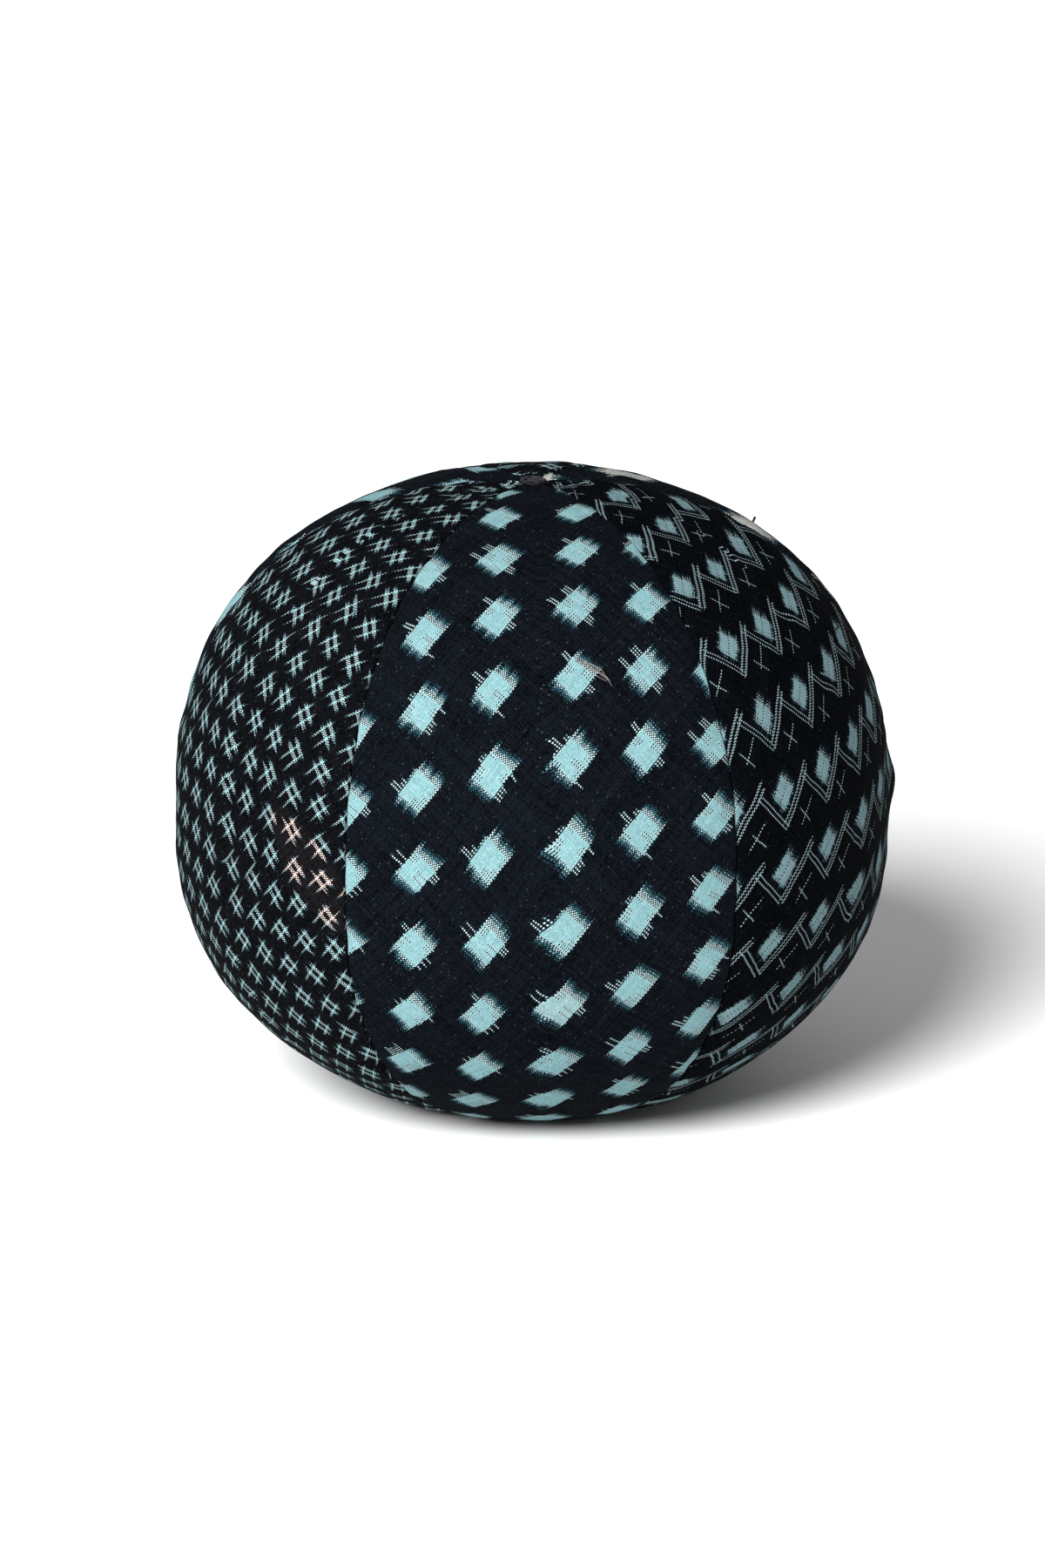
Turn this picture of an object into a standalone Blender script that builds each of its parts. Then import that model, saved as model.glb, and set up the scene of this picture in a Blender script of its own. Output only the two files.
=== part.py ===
"""A seed-filled juggling ball: six cloth gores sewn pole to pole round a firm filling.

The ball stands on z = 0 with its poles on the z axis, and its front faces -Y.
Lengths are in metres. A turn is an angle round the z axis, from -Y towards +X.
"""

import math

import bmesh
import bpy
from mathutils import Vector

# The finished ball
BALL_WIDTH = 0.080
BALL_HEIGHT = 0.070
BASE_RADIUS = 0.012  # of the patch that the ball's own weight presses flat

# The seams run from pole to pole. Each of these has another one opposite.
SEAM_TURNS = (math.radians(-31.0), math.radians(33.5), math.radians(91.0))

# The cloth and its edges
CLOTH_THICKNESS = 0.0004
SEAM_ALLOWANCE = 0.004  # the edge of each gore, turned in and lying against it
FOLD_STEP = 0.0003  # over which the double layer thins to a single one
TIP_RADIUS = 0.0016  # of the hole that the six tips leave at a pole
GAP = 0.0003  # between neighbouring pieces

# The sewing
THREAD_DIAMETER = 0.0003
THREAD_SHORT_OF_TIP = 0.0012  # from the tip's edge to the end of the stitching
CLOSING_LENGTH = 0.034  # of the seam, closed by hand after filling
CLOSING_LIFT = 0.026  # height of that opening's middle
LADDER_STITCH = 0.0028  # from one crossing to the next
LADDER_SWAY = 0.00012  # to each side of the seam

# How finely the curved pieces are faceted
LATITUDE_STEPS = 15
FLAT_STEPS = 2
COLUMNS_A_SIDE = 2  # of a gore's middle, within its double edges
SHARP_EDGE = math.radians(40)
FILLING_SIDES = 30
TACK_SIDES = 10
TACK_RINGS = 6

HALF_WIDTH = BALL_WIDTH / 2
BASE_DROP = math.sqrt(1 - (BASE_RADIUS / HALF_WIDTH) ** 2)
CROWN = BALL_HEIGHT / (1 + BASE_DROP)  # from the equator up to the pole
EQUATOR = CROWN * BASE_DROP  # height of the widest level
DOUBLE_LAYER = 2 * CLOTH_THICKNESS
THREAD_DEPTH = CLOTH_THICKNESS + GAP + THREAD_DIAMETER / 2
FILLING_DEPTH = max(DOUBLE_LAYER, THREAD_DEPTH + THREAD_DIAMETER / 2) + GAP
# The turned-in layers stand back from a seam, and leave the thread a channel.
CHANNEL_HALF_WIDTH = THREAD_DIAMETER / 2 + LADDER_SWAY + GAP

SEAMS = tuple(SEAM_TURNS) + tuple(turn + math.pi for turn in SEAM_TURNS)
PANEL_NAMES = (
    "front_panel",
    "right_panel",
    "rear_right_panel",
    "rear_panel",
    "rear_left_panel",
    "left_panel",
)
SEAM_NAMES = (
    "front_left_seam_thread",
    "front_right_seam_thread",
    "right_seam_thread",
    "rear_right_seam_thread",
    "rear_left_seam_thread",
    "left_seam_thread",
)
CLOSED_BY_HAND = 4  # the seam that was left open for filling

CLOTHS = {
    "front_panel": (0.008, 0.014, 0.026),
    "right_panel": (0.007, 0.010, 0.016),
    "rear_right_panel": (0.010, 0.016, 0.028),
    "rear_panel": (0.008, 0.009, 0.012),
    "rear_left_panel": (0.008, 0.014, 0.026),
    "left_panel": (0.009, 0.010, 0.012),
}
THREAD_COLOUR = (0.010, 0.010, 0.014)
SEED_COLOUR = (0.58, 0.42, 0.16)


def clear_scene():
    for item in list(bpy.data.objects):
        bpy.data.objects.remove(item, do_unlink=True)


def plain_material(name, colour, roughness):
    material = bpy.data.materials.new(name)
    material.use_nodes = True
    shader = material.node_tree.nodes["Principled BSDF"]
    shader.inputs["Base Color"].default_value = (*colour, 1.0)
    shader.inputs["Roughness"].default_value = roughness
    shader.inputs["Metallic"].default_value = 0.0
    return material


def place(name, data, material, collection):
    """Adds an object to the ball with its material."""
    item = bpy.data.objects.new(name, data)
    data.materials.append(material)
    collection.objects.link(item)
    return item


def meridian(depth, tip):
    """Radius and height of points down the ball's side, that deep inside its skin.

    They run from the upper pole's rim to the lower one's, whose radius is tip.
    """
    across = HALF_WIDTH - depth
    up = CROWN - depth
    highest = math.acos(tip / across)
    lowest = -math.asin((EQUATOR - depth) / up)
    points = []
    for step in range(LATITUDE_STEPS + 1):
        latitude = highest + (lowest - highest) * step / LATITUDE_STEPS
        points.append((across * math.cos(latitude), EQUATOR + up * math.sin(latitude)))
    base = points[-1][0]
    for step in range(1, FLAT_STEPS + 1):
        points.append((base + (tip - base) * step / FLAT_STEPS, depth))
    return points


def round_the_axis(radius, height, turn):
    return Vector((radius * math.sin(turn), -radius * math.cos(turn), height))


def column_offsets(half_arc):
    """Distances of a gore's columns from its seam towards its middle, and the layers at each."""
    edge = GAP / 2
    fold = CHANNEL_HALF_WIDTH
    inner = (FOLD_STEP, SEAM_ALLOWANCE, SEAM_ALLOWANCE + FOLD_STEP)
    room = half_arc - fold
    share = min(1.0, room / (inner[-1] + FOLD_STEP))
    offsets = [edge, fold] + [fold + share * distance for distance in inner]
    layers = [1, 1, 2, 2, 1]
    last = offsets[-1]
    for column in range(1, COLUMNS_A_SIDE + 1):
        offsets.append(last + (half_arc - last) * column / (COLUMNS_A_SIDE + 1))
        layers.append(1)
    return offsets, layers


def column_turns(radius, first_seam, second_seam):
    """Turns of a gore's columns at one level, from its first seam to its second."""
    half_arc = radius * (second_seam - first_seam) / 2
    offsets, layers = column_offsets(half_arc)
    turns = [first_seam + offset / radius for offset in offsets]
    middle = (first_seam + second_seam) / 2
    mirrored = [second_seam - offset / radius for offset in reversed(offsets)]
    return turns + [middle] + mirrored, layers + [1] + layers[::-1]


def panel(name, first_seam, second_seam, collection):
    """One gore with its edges turned in, as a bent sheet that is given its thickness."""
    levels = meridian(0.0, TIP_RADIUS)
    rows = [column_turns(radius, first_seam, second_seam) for radius, _ in levels]
    columns = len(rows[0][0])
    sheet = bmesh.new()
    bmesh.ops.create_grid(
        sheet, x_segments=columns - 1, y_segments=len(levels) - 1, size=1.0
    )
    weights = sheet.verts.layers.deform.verify()
    for vertex in sheet.verts:
        column = round((vertex.co.x + 1) / 2 * (columns - 1))
        row = round((1 - vertex.co.y) / 2 * (len(levels) - 1))
        turns, layers = rows[row]
        radius, height = levels[row]
        vertex.co = round_the_axis(radius, height, turns[column])
        vertex[weights][0] = layers[column] / 2
    mesh = bpy.data.meshes.new(name)
    sheet.to_mesh(mesh)
    sheet.free()
    mesh.shade_smooth()
    mesh.set_sharp_from_angle(angle=SHARP_EDGE)
    item = place(name, mesh, plain_material(name, CLOTHS[name], 0.9), collection)
    item.vertex_groups.new(name="layers")
    wall = item.modifiers.new("cloth", "SOLIDIFY")
    wall.thickness = DOUBLE_LAYER
    wall.offset = -1.0
    wall.vertex_group = "layers"
    wall.use_even_offset = True


def along_seam(spacing):
    """Points down the stitching line, about that far apart, with their run from its top."""
    tip = TIP_RADIUS + THREAD_SHORT_OF_TIP
    levels = [Vector(level) for level in meridian(THREAD_DEPTH, tip)]
    points = []
    run = 0.0
    for start, end in zip(levels, levels[1:]):
        length = (end - start).length
        steps = max(1, round(length / spacing))
        for step in range(steps):
            points.append((start.lerp(end, step / steps), run + length * step / steps))
        run += length
    points.append((levels[-1], run))
    return points


def thread(name, path, material, collection):
    """One continuous sewing thread through the given points."""
    data = bpy.data.curves.new(name, "CURVE")
    data.dimensions = "3D"
    data.bevel_depth = THREAD_DIAMETER / 2
    data.bevel_resolution = 2
    data.use_fill_caps = True
    line = data.splines.new("POLY")
    line.points.add(len(path) - 1)
    for point, spot in zip(line.points, path):
        point.co = (*spot, 1.0)
    place(name, data, material, collection)


def seam_threads(material, collection):
    """The stitching of every seam, and the ladder stitch that closes the filling hole."""
    coarse = along_seam(BALL_WIDTH)
    for index, (name, turn) in enumerate(zip(SEAM_NAMES, SEAMS)):
        if index == CLOSED_BY_HAND:
            closed_seam(name, turn, material, collection)
        else:
            path = [round_the_axis(*spot, turn) for spot, _ in coarse]
            thread(name, path, material, collection)


def closed_seam(name, turn, material, collection):
    """A seam sewn above and below the filling hole, with the hole closed by hand."""
    fine = along_seam(LADDER_STITCH)
    equator_down = [entry for entry in fine if entry[0].y < EQUATOR]
    middle = min(equator_down, key=lambda entry: abs(entry[0].y - CLOSING_LIFT))[1]
    start = middle - CLOSING_LENGTH / 2
    end = middle + CLOSING_LENGTH / 2
    spare = THREAD_DIAMETER + GAP
    above = [entry for entry in fine if entry[1] < start - spare]
    below = [entry for entry in fine if entry[1] > end + spare]
    opening = [entry for entry in fine if start < entry[1] < end]
    for part, entries in (("upper", above), ("lower", below)):
        path = [round_the_axis(*spot, turn) for spot, _ in entries]
        thread(f"{name}_{part}", path, material, collection)
    path = []
    for index, (spot, _) in enumerate(opening):
        side = 1 if index % 2 else -1
        path.append(round_the_axis(*spot, turn + side * LADDER_SWAY / spot.x))
    thread("closing_ladder_stitch", path, material, collection)


def tack(name, height, material, collection):
    """The knot of stitches that draws the six tips together at a pole."""
    narrowest = min(second - first for first, second in zip(SEAMS, SEAMS[1:]))
    reach = TIP_RADIUS * math.cos(narrowest / 2) - GAP
    knot = bmesh.new()
    bmesh.ops.create_uvsphere(
        knot, u_segments=TACK_SIDES, v_segments=TACK_RINGS, radius=1.0
    )
    bmesh.ops.scale(knot, vec=(reach, reach, DOUBLE_LAYER / 2), verts=knot.verts)
    mesh = bpy.data.meshes.new(name)
    knot.to_mesh(mesh)
    knot.free()
    mesh.shade_smooth()
    item = place(name, mesh, material, collection)
    item.location = (0.0, 0.0, height)


def filling(material, collection):
    """The packed seed, as the one solid that it fills inside the cover."""
    side = meridian(FILLING_DEPTH, TIP_RADIUS)
    outline = [(0.0, EQUATOR + CROWN - FILLING_DEPTH), *side, (0.0, FILLING_DEPTH)]
    mesh = bpy.data.meshes.new("seed_filling")
    profile = [(radius, 0.0, height) for radius, height in outline]
    edges = [(index, index + 1) for index in range(len(profile) - 1)]
    mesh.from_pydata(profile, edges, [])
    item = place("seed_filling", mesh, material, collection)
    turned = item.modifiers.new("turned", "SCREW")
    turned.axis = "Z"
    turned.angle = 2 * math.pi
    turned.steps = FILLING_SIDES
    turned.render_steps = FILLING_SIDES
    turned.use_merge_vertices = True
    turned.merge_threshold = 0.00001
    turned.use_smooth_shade = True


def build():
    clear_scene()
    ball = bpy.data.collections.new("juggling_ball")
    bpy.context.scene.collection.children.link(ball)
    sewing = plain_material("sewing_thread", THREAD_COLOUR, 0.7)
    seed = plain_material("seed", SEED_COLOUR, 0.6)

    ends = SEAMS[1:] + (SEAMS[0] + 2 * math.pi,)
    for name, first_seam, second_seam in zip(PANEL_NAMES, SEAMS, ends):
        panel(name, first_seam, second_seam, ball)
    seam_threads(sewing, ball)
    tack_depth = (GAP + DOUBLE_LAYER) / 2
    tack("crown_tack", EQUATOR + CROWN - tack_depth, sewing, ball)
    tack("base_tack", tack_depth, sewing, ball)
    filling(seed, ball)


build()
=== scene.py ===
"""Looks of a seed-filled juggling ball: six gores of ikat cotton, sewn from pole to pole.

The ball stands on z = 0 with its poles on the z axis, and its front faces -Y. Lengths are in metres.
"""

import bisect
import math

import bmesh
import bpy
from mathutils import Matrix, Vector, noise
from mathutils.bvhtree import BVHTree


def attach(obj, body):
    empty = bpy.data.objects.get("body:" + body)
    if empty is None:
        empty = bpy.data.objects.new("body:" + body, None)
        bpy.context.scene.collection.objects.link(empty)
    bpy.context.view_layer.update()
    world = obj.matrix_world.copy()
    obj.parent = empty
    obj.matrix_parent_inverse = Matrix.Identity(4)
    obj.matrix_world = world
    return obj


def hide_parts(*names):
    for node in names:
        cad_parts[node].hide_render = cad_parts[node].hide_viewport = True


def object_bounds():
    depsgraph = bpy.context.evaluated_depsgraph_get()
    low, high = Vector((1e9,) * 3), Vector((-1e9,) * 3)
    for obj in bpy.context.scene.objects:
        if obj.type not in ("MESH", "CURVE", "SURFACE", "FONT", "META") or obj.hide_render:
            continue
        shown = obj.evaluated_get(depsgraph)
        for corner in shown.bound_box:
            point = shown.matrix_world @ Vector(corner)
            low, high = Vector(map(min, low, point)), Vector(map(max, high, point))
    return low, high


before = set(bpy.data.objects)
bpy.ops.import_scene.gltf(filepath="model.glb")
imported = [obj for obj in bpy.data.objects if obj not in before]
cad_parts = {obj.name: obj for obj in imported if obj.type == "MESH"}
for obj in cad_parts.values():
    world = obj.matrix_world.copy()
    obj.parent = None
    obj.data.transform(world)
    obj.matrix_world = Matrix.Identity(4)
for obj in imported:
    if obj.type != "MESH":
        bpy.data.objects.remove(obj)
cad_low, cad_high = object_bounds()

# ---------------------------------------------------------------------------------------------
# Seed filling
# Dry hulled millet, about 160 g of round grains 2 mm across, poured in through the last seam.
# It is loose inside the cover, and it takes the shape of the cover around it.

MILLET_GRAIN = 0.0022
MILLET_HUSK = "C9A75E"
MILLET_SHADE = "8C6A34"


def linear(colour):
    """An sRGB hex colour as a linear one."""
    parts = [int(colour[start : start + 2], 16) / 255 for start in (0, 2, 4)]
    spread = [part / 12.92 if part <= 0.04045 else ((part + 0.055) / 1.055) ** 2.4 for part in parts]
    return (*spread, 1.0)


def add(tree, kind, settings=None, inputs=None):
    """Adds a node with its settings and inputs. A node given as an input stands for its first output."""
    made = tree.nodes.new(kind)
    for name, value in (settings or {}).items():
        setattr(made, name, value)
    for name, value in (inputs or {}).items():
        if isinstance(value, bpy.types.Node):
            value = value.outputs[0]
        if isinstance(value, bpy.types.NodeSocket):
            tree.links.new(value, made.inputs[name])
        else:
            made.inputs[name].default_value = value
    return made


def blank_material(name):
    """A new material's node tree and its shader."""
    material = bpy.data.materials.new(name)
    material.use_nodes = True
    tree = material.node_tree
    return material, tree, tree.nodes["Principled BSDF"]


def give(item, material):
    """The item's one material."""
    item.data.materials.clear()
    item.data.materials.append(material)


def hulled_millet():
    """Millet with its husk off: small waxy grains, each a little lighter or darker than the next."""
    material, tree, shader = blank_material("hulled_millet")
    place = add(tree, "ShaderNodeTexCoord").outputs["Object"]
    grain = add(
        tree,
        "ShaderNodeTexVoronoi",
        {"feature": "F1"},
        {"Vector": place, "Scale": 1 / MILLET_GRAIN, "Randomness": 0.9},
    )
    dice = add(tree, "ShaderNodeSeparateColor", None, {0: grain.outputs["Color"]})
    colour = add(
        tree,
        "ShaderNodeMix",
        {"data_type": "RGBA"},
        {"Factor": dice.outputs["Red"], 6: linear(MILLET_SHADE), 7: linear(MILLET_HUSK)},
    )
    rise = add(
        tree,
        "ShaderNodeMapRange",
        None,
        {"Value": grain.outputs["Distance"], "From Min": 0.0, "From Max": 0.6, "To Min": 1.0, "To Max": 0.0},
    )
    bump = add(tree, "ShaderNodeBump", None, {"Height": rise, "Distance": MILLET_GRAIN / 3, "Strength": 1.0})
    tree.links.new(colour.outputs[2], shader.inputs["Base Color"])
    tree.links.new(bump.outputs["Normal"], shader.inputs["Normal"])
    shader.inputs["Roughness"].default_value = 0.42
    shader.inputs["IOR"].default_value = 1.45
    return material


# ---------------------------------------------------------------------------------------------
# The shape of the filled cover
# The ball is widest at its equator, and its own weight presses a round patch flat underneath.
# Each gore bends one way only, so the ball is slightly six-sided, with its corners at the seams.

BASE_RADIUS = 0.0114
TIP_RADIUS = 0.0011  # of the hole that the six tips leave at a pole
WIDEST_HEIGHT = 0.033
SHOULDER_FULLNESS = 2.24  # 2 gives an ellipse, and more gives a squarer side
UNDERSIDE_FULLNESS = 2.35
SEAM_DEGREES = (-31.0, 33.5, 91.0, 149.0, 213.5, 271.0)
GORE_FLATNESS = 0.0006  # how far a gore's middle lies inside the round
SEAM_DIP = 0.00014
SEAM_DIP_REACH = 0.0009
PUCKER_HEIGHT = 0.00013
PUCKER_SPACING = 0.0046
PUCKER_REACH = 0.0042
SWELL_HEIGHT = 0.00035
SWELL_SIZE = 0.026
LUMP_HEIGHT = 0.00016
LUMP_SIZE = 0.009
GRAIN_HEIGHT = 0.00004
GRAIN_SIZE = 0.0026
PROFILE_STEPS = 720
PINCHES = (
    # degrees round, height, how far it stands out, and how far it reaches: tucks where a seam was eased
    (91.0, 0.0352, 0.0013, 0.0026),
    (271.0, 0.0405, 0.0005, 0.0024),
    (91.0, 0.0530, 0.0003, 0.0020),
    (33.5, 0.0250, 0.0003, 0.0022),
)
PINCH_HOLLOW = 0.0006  # beside a tuck the cloth is drawn in
PINCH_LIMIT = 6  # reaches away, past which a tuck does nothing
HOLLOW_SPREAD = 1.8  # reaches away, over which the hollow beside a tuck fades
FLAT_REACH = 0.006  # up from the floor, over which the cloth comes free of it
NORMAL_REACH = 0.0015  # each way along the side, to read its slope

half_width = (cad_high.x - cad_low.x) / 2
ball_height = cad_high.z - cad_low.z
seams = [math.radians(degrees) for degrees in SEAM_DEGREES]
seam_ends = seams[1:] + [seams[0] + 2 * math.pi]


def side_profile():
    """Runs down the ball's side from its top, with the radius and height at each."""
    shoulder = 2 / SHOULDER_FULLNESS
    rise = ball_height - WIDEST_HEIGHT
    corners = []
    for step in range(PROFILE_STEPS + 1):
        angle = math.pi / 2 * step / PROFILE_STEPS
        radius = half_width * math.sin(angle) ** shoulder
        if radius >= TIP_RADIUS:
            corners.append(Vector((radius, WIDEST_HEIGHT + rise * math.cos(angle) ** shoulder)))
    underside = 2 / UNDERSIDE_FULLNESS
    drop = WIDEST_HEIGHT / (1 - (BASE_RADIUS / half_width) ** UNDERSIDE_FULLNESS) ** (1 / UNDERSIDE_FULLNESS)
    lowest = math.asin((WIDEST_HEIGHT / drop) ** (1 / underside))
    for step in range(1, PROFILE_STEPS + 1):
        angle = lowest * step / PROFILE_STEPS
        radius = half_width * math.cos(angle) ** underside
        corners.append(Vector((radius, WIDEST_HEIGHT - drop * math.sin(angle) ** underside)))
    corners.append(Vector((TIP_RADIUS, 0.0)))
    runs = [0.0]
    for start, end in zip(corners, corners[1:]):
        runs.append(runs[-1] + (end - start).length)
    return runs, corners


runs, corners = side_profile()
full_run = runs[-1]


def at_run(run):
    """Radius and height that far down the side."""
    run = min(max(run, 0.0), full_run)
    index = min(bisect.bisect_right(runs, run), len(runs) - 1)
    share = (run - runs[index - 1]) / (runs[index] - runs[index - 1])
    return corners[index - 1].lerp(corners[index], share)


def run_to(height):
    """How far down the side that height is."""
    return min(zip(runs, corners), key=lambda pair: abs(pair[1].y - height))[0]


equator_run = run_to(WIDEST_HEIGHT)


def side_frame(run, turn):
    """A point of the round skin and the direction out of it."""
    spot = at_run(run)
    along = at_run(run + NORMAL_REACH) - at_run(run - NORMAL_REACH)
    across = Vector((-along.y, along.x)).normalized()
    outward = Vector((math.sin(turn), -math.cos(turn), 0.0))
    point = outward * spot.x + Vector((0.0, 0.0, spot.y))
    return point, outward * across.x + Vector((0.0, 0.0, across.y))


# The cover is filled in a cloth simulation, this many times as large as it is, because the
# solver's masses and springs suit garments. The skin it makes is only a guide: each piece is
# placed on it by cover_point, and the pieces themselves aren't simulated.
SIMULATED_SCALE = 15
COLUMNS_A_GORE = 22
RINGS = 88
FRAMES = 20
MOVEMENT_CAP = 0.0009
EASE = 0.0001  # added all over, to bring the filled cover out nearer to the ball's full width
HELD_HEIGHT = 0.0004  # the skin is held where it starts lower than this
FEELER = 0.004  # half the length of the ray that looks for the filled skin


def sewn_ball():
    """The cover before it is filled, as one closed skin with a column of points on each seam."""
    columns = 6 * COLUMNS_A_GORE
    skin = bmesh.new()
    bmesh.ops.create_uvsphere(skin, u_segments=columns, v_segments=RINGS, radius=1.0)
    marks = skin.verts.layers.deform.verify()
    for vertex in skin.verts:
        column = round(math.atan2(vertex.co.x, -vertex.co.y) / (2 * math.pi) * columns) % columns
        gore, step = divmod(column, COLUMNS_A_GORE)
        turn = seams[gore] + (seam_ends[gore] - seams[gore]) * step / COLUMNS_A_GORE
        fall = math.acos(max(-1.0, min(1.0, vertex.co.z))) / math.pi
        point = side_frame(fall * full_run, turn)[0]
        on_base = point.z < HELD_HEIGHT
        if abs(vertex.co.z) > 0.9999:
            point.x = point.y = 0.0
        vertex.co = point * SIMULATED_SCALE
        vertex[marks][0] = 1.0 if on_base or abs(vertex.co.z) > 0.999 * SIMULATED_SCALE else 0.0
        vertex[marks][1] = 1.0 if step == 0 else 0.0
    mesh = bpy.data.meshes.new("sewn_ball")
    skin.to_mesh(mesh)
    skin.free()
    return mesh


def filled_ball():
    """The sewn ball once it is filled, as a tree that rays can be cast on."""
    item = bpy.data.objects.new("sewn_ball", sewn_ball())
    bpy.context.scene.collection.objects.link(item)
    item.vertex_groups.new(name="held")
    item.vertex_groups.new(name="seams")
    cloth = item.modifiers.new("filling", "CLOTH")
    settings = cloth.settings
    settings.quality = 6
    settings.mass = 0.12
    settings.tension_stiffness = 22
    settings.compression_stiffness = 22
    settings.shear_stiffness = 8
    settings.bending_stiffness = 0.6
    settings.use_pressure = True
    settings.uniform_pressure_force = 4.0
    settings.vertex_group_mass = "held"
    settings.vertex_group_shrink = "seams"
    settings.shrink_min = 0.0
    settings.shrink_max = 0.025
    settings.effector_weights.gravity = 0.0
    cloth.collision_settings.use_collision = False
    cloth.collision_settings.use_self_collision = False
    finer = item.modifiers.new("finer", "SUBSURF")
    finer.levels = 1
    finer.render_levels = 1
    scene = bpy.context.scene
    for number in range(1, FRAMES + 1):
        scene.frame_set(number)
    filled = item.evaluated_get(bpy.context.evaluated_depsgraph_get())
    skin = bmesh.new()
    skin.from_mesh(filled.to_mesh())
    bmesh.ops.scale(skin, vec=Vector((1, 1, 1)) / SIMULATED_SCALE, verts=skin.verts)
    tree = BVHTree.FromBMesh(skin)
    skin.free()
    scene.frame_set(1)
    bpy.data.objects.remove(item, do_unlink=True)
    return tree


filled = filled_ball()


def cover_point(run, turn, from_seam, share, depth):
    """A point of the filled cover, at a depth inside its skin.

    from_seam is the distance to the nearest seam, and share runs from 0 to 1 across the gore.
    """
    point, outward = side_frame(run, turn)
    rise = 0.0
    if filled is not None:
        _, _, _, reach = filled.ray_cast(point - outward * FEELER, outward, 2 * FEELER)
        if reach is not None:
            rise += max(-MOVEMENT_CAP, min(MOVEMENT_CAP, reach - FEELER)) + EASE
    lift = min(1.0, point.z / FLAT_REACH)
    rise -= GORE_FLATNESS * (1 - (2 * share - 1) ** 2) * lift
    rise -= SEAM_DIP * math.exp(-from_seam / SEAM_DIP_REACH)
    beat = noise.noise(Vector((math.sin(turn) * 9, math.cos(turn) * 9, run * 70))) * 3.0
    pucker = math.sin(2 * math.pi * run / PUCKER_SPACING + beat)
    rise += PUCKER_HEIGHT * pucker * math.exp(-from_seam / PUCKER_REACH) * lift
    rise += SWELL_HEIGHT * noise.noise(point / SWELL_SIZE) * lift
    rise += LUMP_HEIGHT * noise.noise(point / LUMP_SIZE + Vector((7, 0, 0))) * lift
    rise += GRAIN_HEIGHT * noise.noise(point / GRAIN_SIZE + Vector((0, 7, 0))) * lift
    for degrees, height, stand, reach in PINCHES:
        angle = math.radians(degrees)
        tuck = Vector((half_width * math.sin(angle), -half_width * math.cos(angle), height))
        away = (point - tuck).length / reach
        if away < PINCH_LIMIT:
            hollow = PINCH_HOLLOW * stand / PINCHES[0][2] * math.exp(-away / HOLLOW_SPREAD)
            rise += stand * math.exp(-(away**2)) - hollow
    moved = point + outward * (rise - depth)
    moved.z = max(moved.z, depth)
    return moved


FILLING_DEPTH = 0.00145  # under the outer face of the cloth, clear of the turned-in edges
FILLING_COLUMNS = 120
FILLING_RINGS = 60


def millet_filling():
    """The mass of seeds, as full as the cover lets it be."""
    mass = bmesh.new()
    bmesh.ops.create_uvsphere(mass, u_segments=FILLING_COLUMNS, v_segments=FILLING_RINGS, radius=1.0)
    for vertex in mass.verts:
        turn = math.atan2(vertex.co.x, -vertex.co.y)
        turn = (turn - seams[0]) % (2 * math.pi) + seams[0]
        first, second = next(pair for pair in zip(seams, seam_ends) if pair[0] <= turn <= pair[1] + 1e-6)
        fall = math.acos(max(-1.0, min(1.0, vertex.co.z))) / math.pi
        run = full_run * fall
        from_seam = at_run(run).x * min(turn - first, second - turn)
        share = (turn - first) / (second - first)
        on_axis = abs(vertex.co.z) > 0.9999
        vertex.co = cover_point(run, turn, abs(from_seam), share, FILLING_DEPTH)
        if on_axis:
            vertex.co.x = vertex.co.y = 0.0
    for face in mass.faces:
        face.smooth = True
    mesh = bpy.data.meshes.new("millet_filling")
    mass.to_mesh(mesh)
    mass.free()
    filling = bpy.data.objects.new("millet_filling", mesh)
    bpy.context.scene.collection.objects.link(filling)
    return filling


filling = millet_filling()
give(filling, hulled_millet())
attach(filling, "root")
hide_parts("seed_filling")

# ---------------------------------------------------------------------------------------------
# Ikat cotton
# Plain weave, 0.4 mm thick, of 70 to 74 warps and 50 to 58 wefts to the centimetre. Both were tied
# and dyed in indigo before weaving, so each pale mark is a tied stretch, ragged where threads slip.

CLOTH_THICKNESS = 0.0004
LINT_SHARE = 0.008  # of the crossings carry a speck of lint
UV_NAME = "threads"  # the cloth's own count of threads: warps across, wefts up

NAVY = {
    "deep": "020406",
    "light": "11151B",
    "lint": "272D33",
    "seep": "2F5B66",
    "single": "9BB0B1",
    "solid": "679297",
}
BLUE_BLACK = {
    **NAVY,
    "deep": "010203",
    "light": "080A0E",
    "lint": "1A1F23",
    "seep": "1C343C",
    "single": "7D8F93",
    "solid": "638287",
}
BLACK = {
    **NAVY,
    "deep": "020203",
    "light": "0F1013",
    "seep": "2B4852",
    "single": "869DA0",
    "solid": "7DA8AB",
}
PALE = {**NAVY, "single": "B5B2AA", "solid": "989C96"}
UNDYED = "B9AAA3"
UNDYED_GROUND = "161415"


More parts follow.
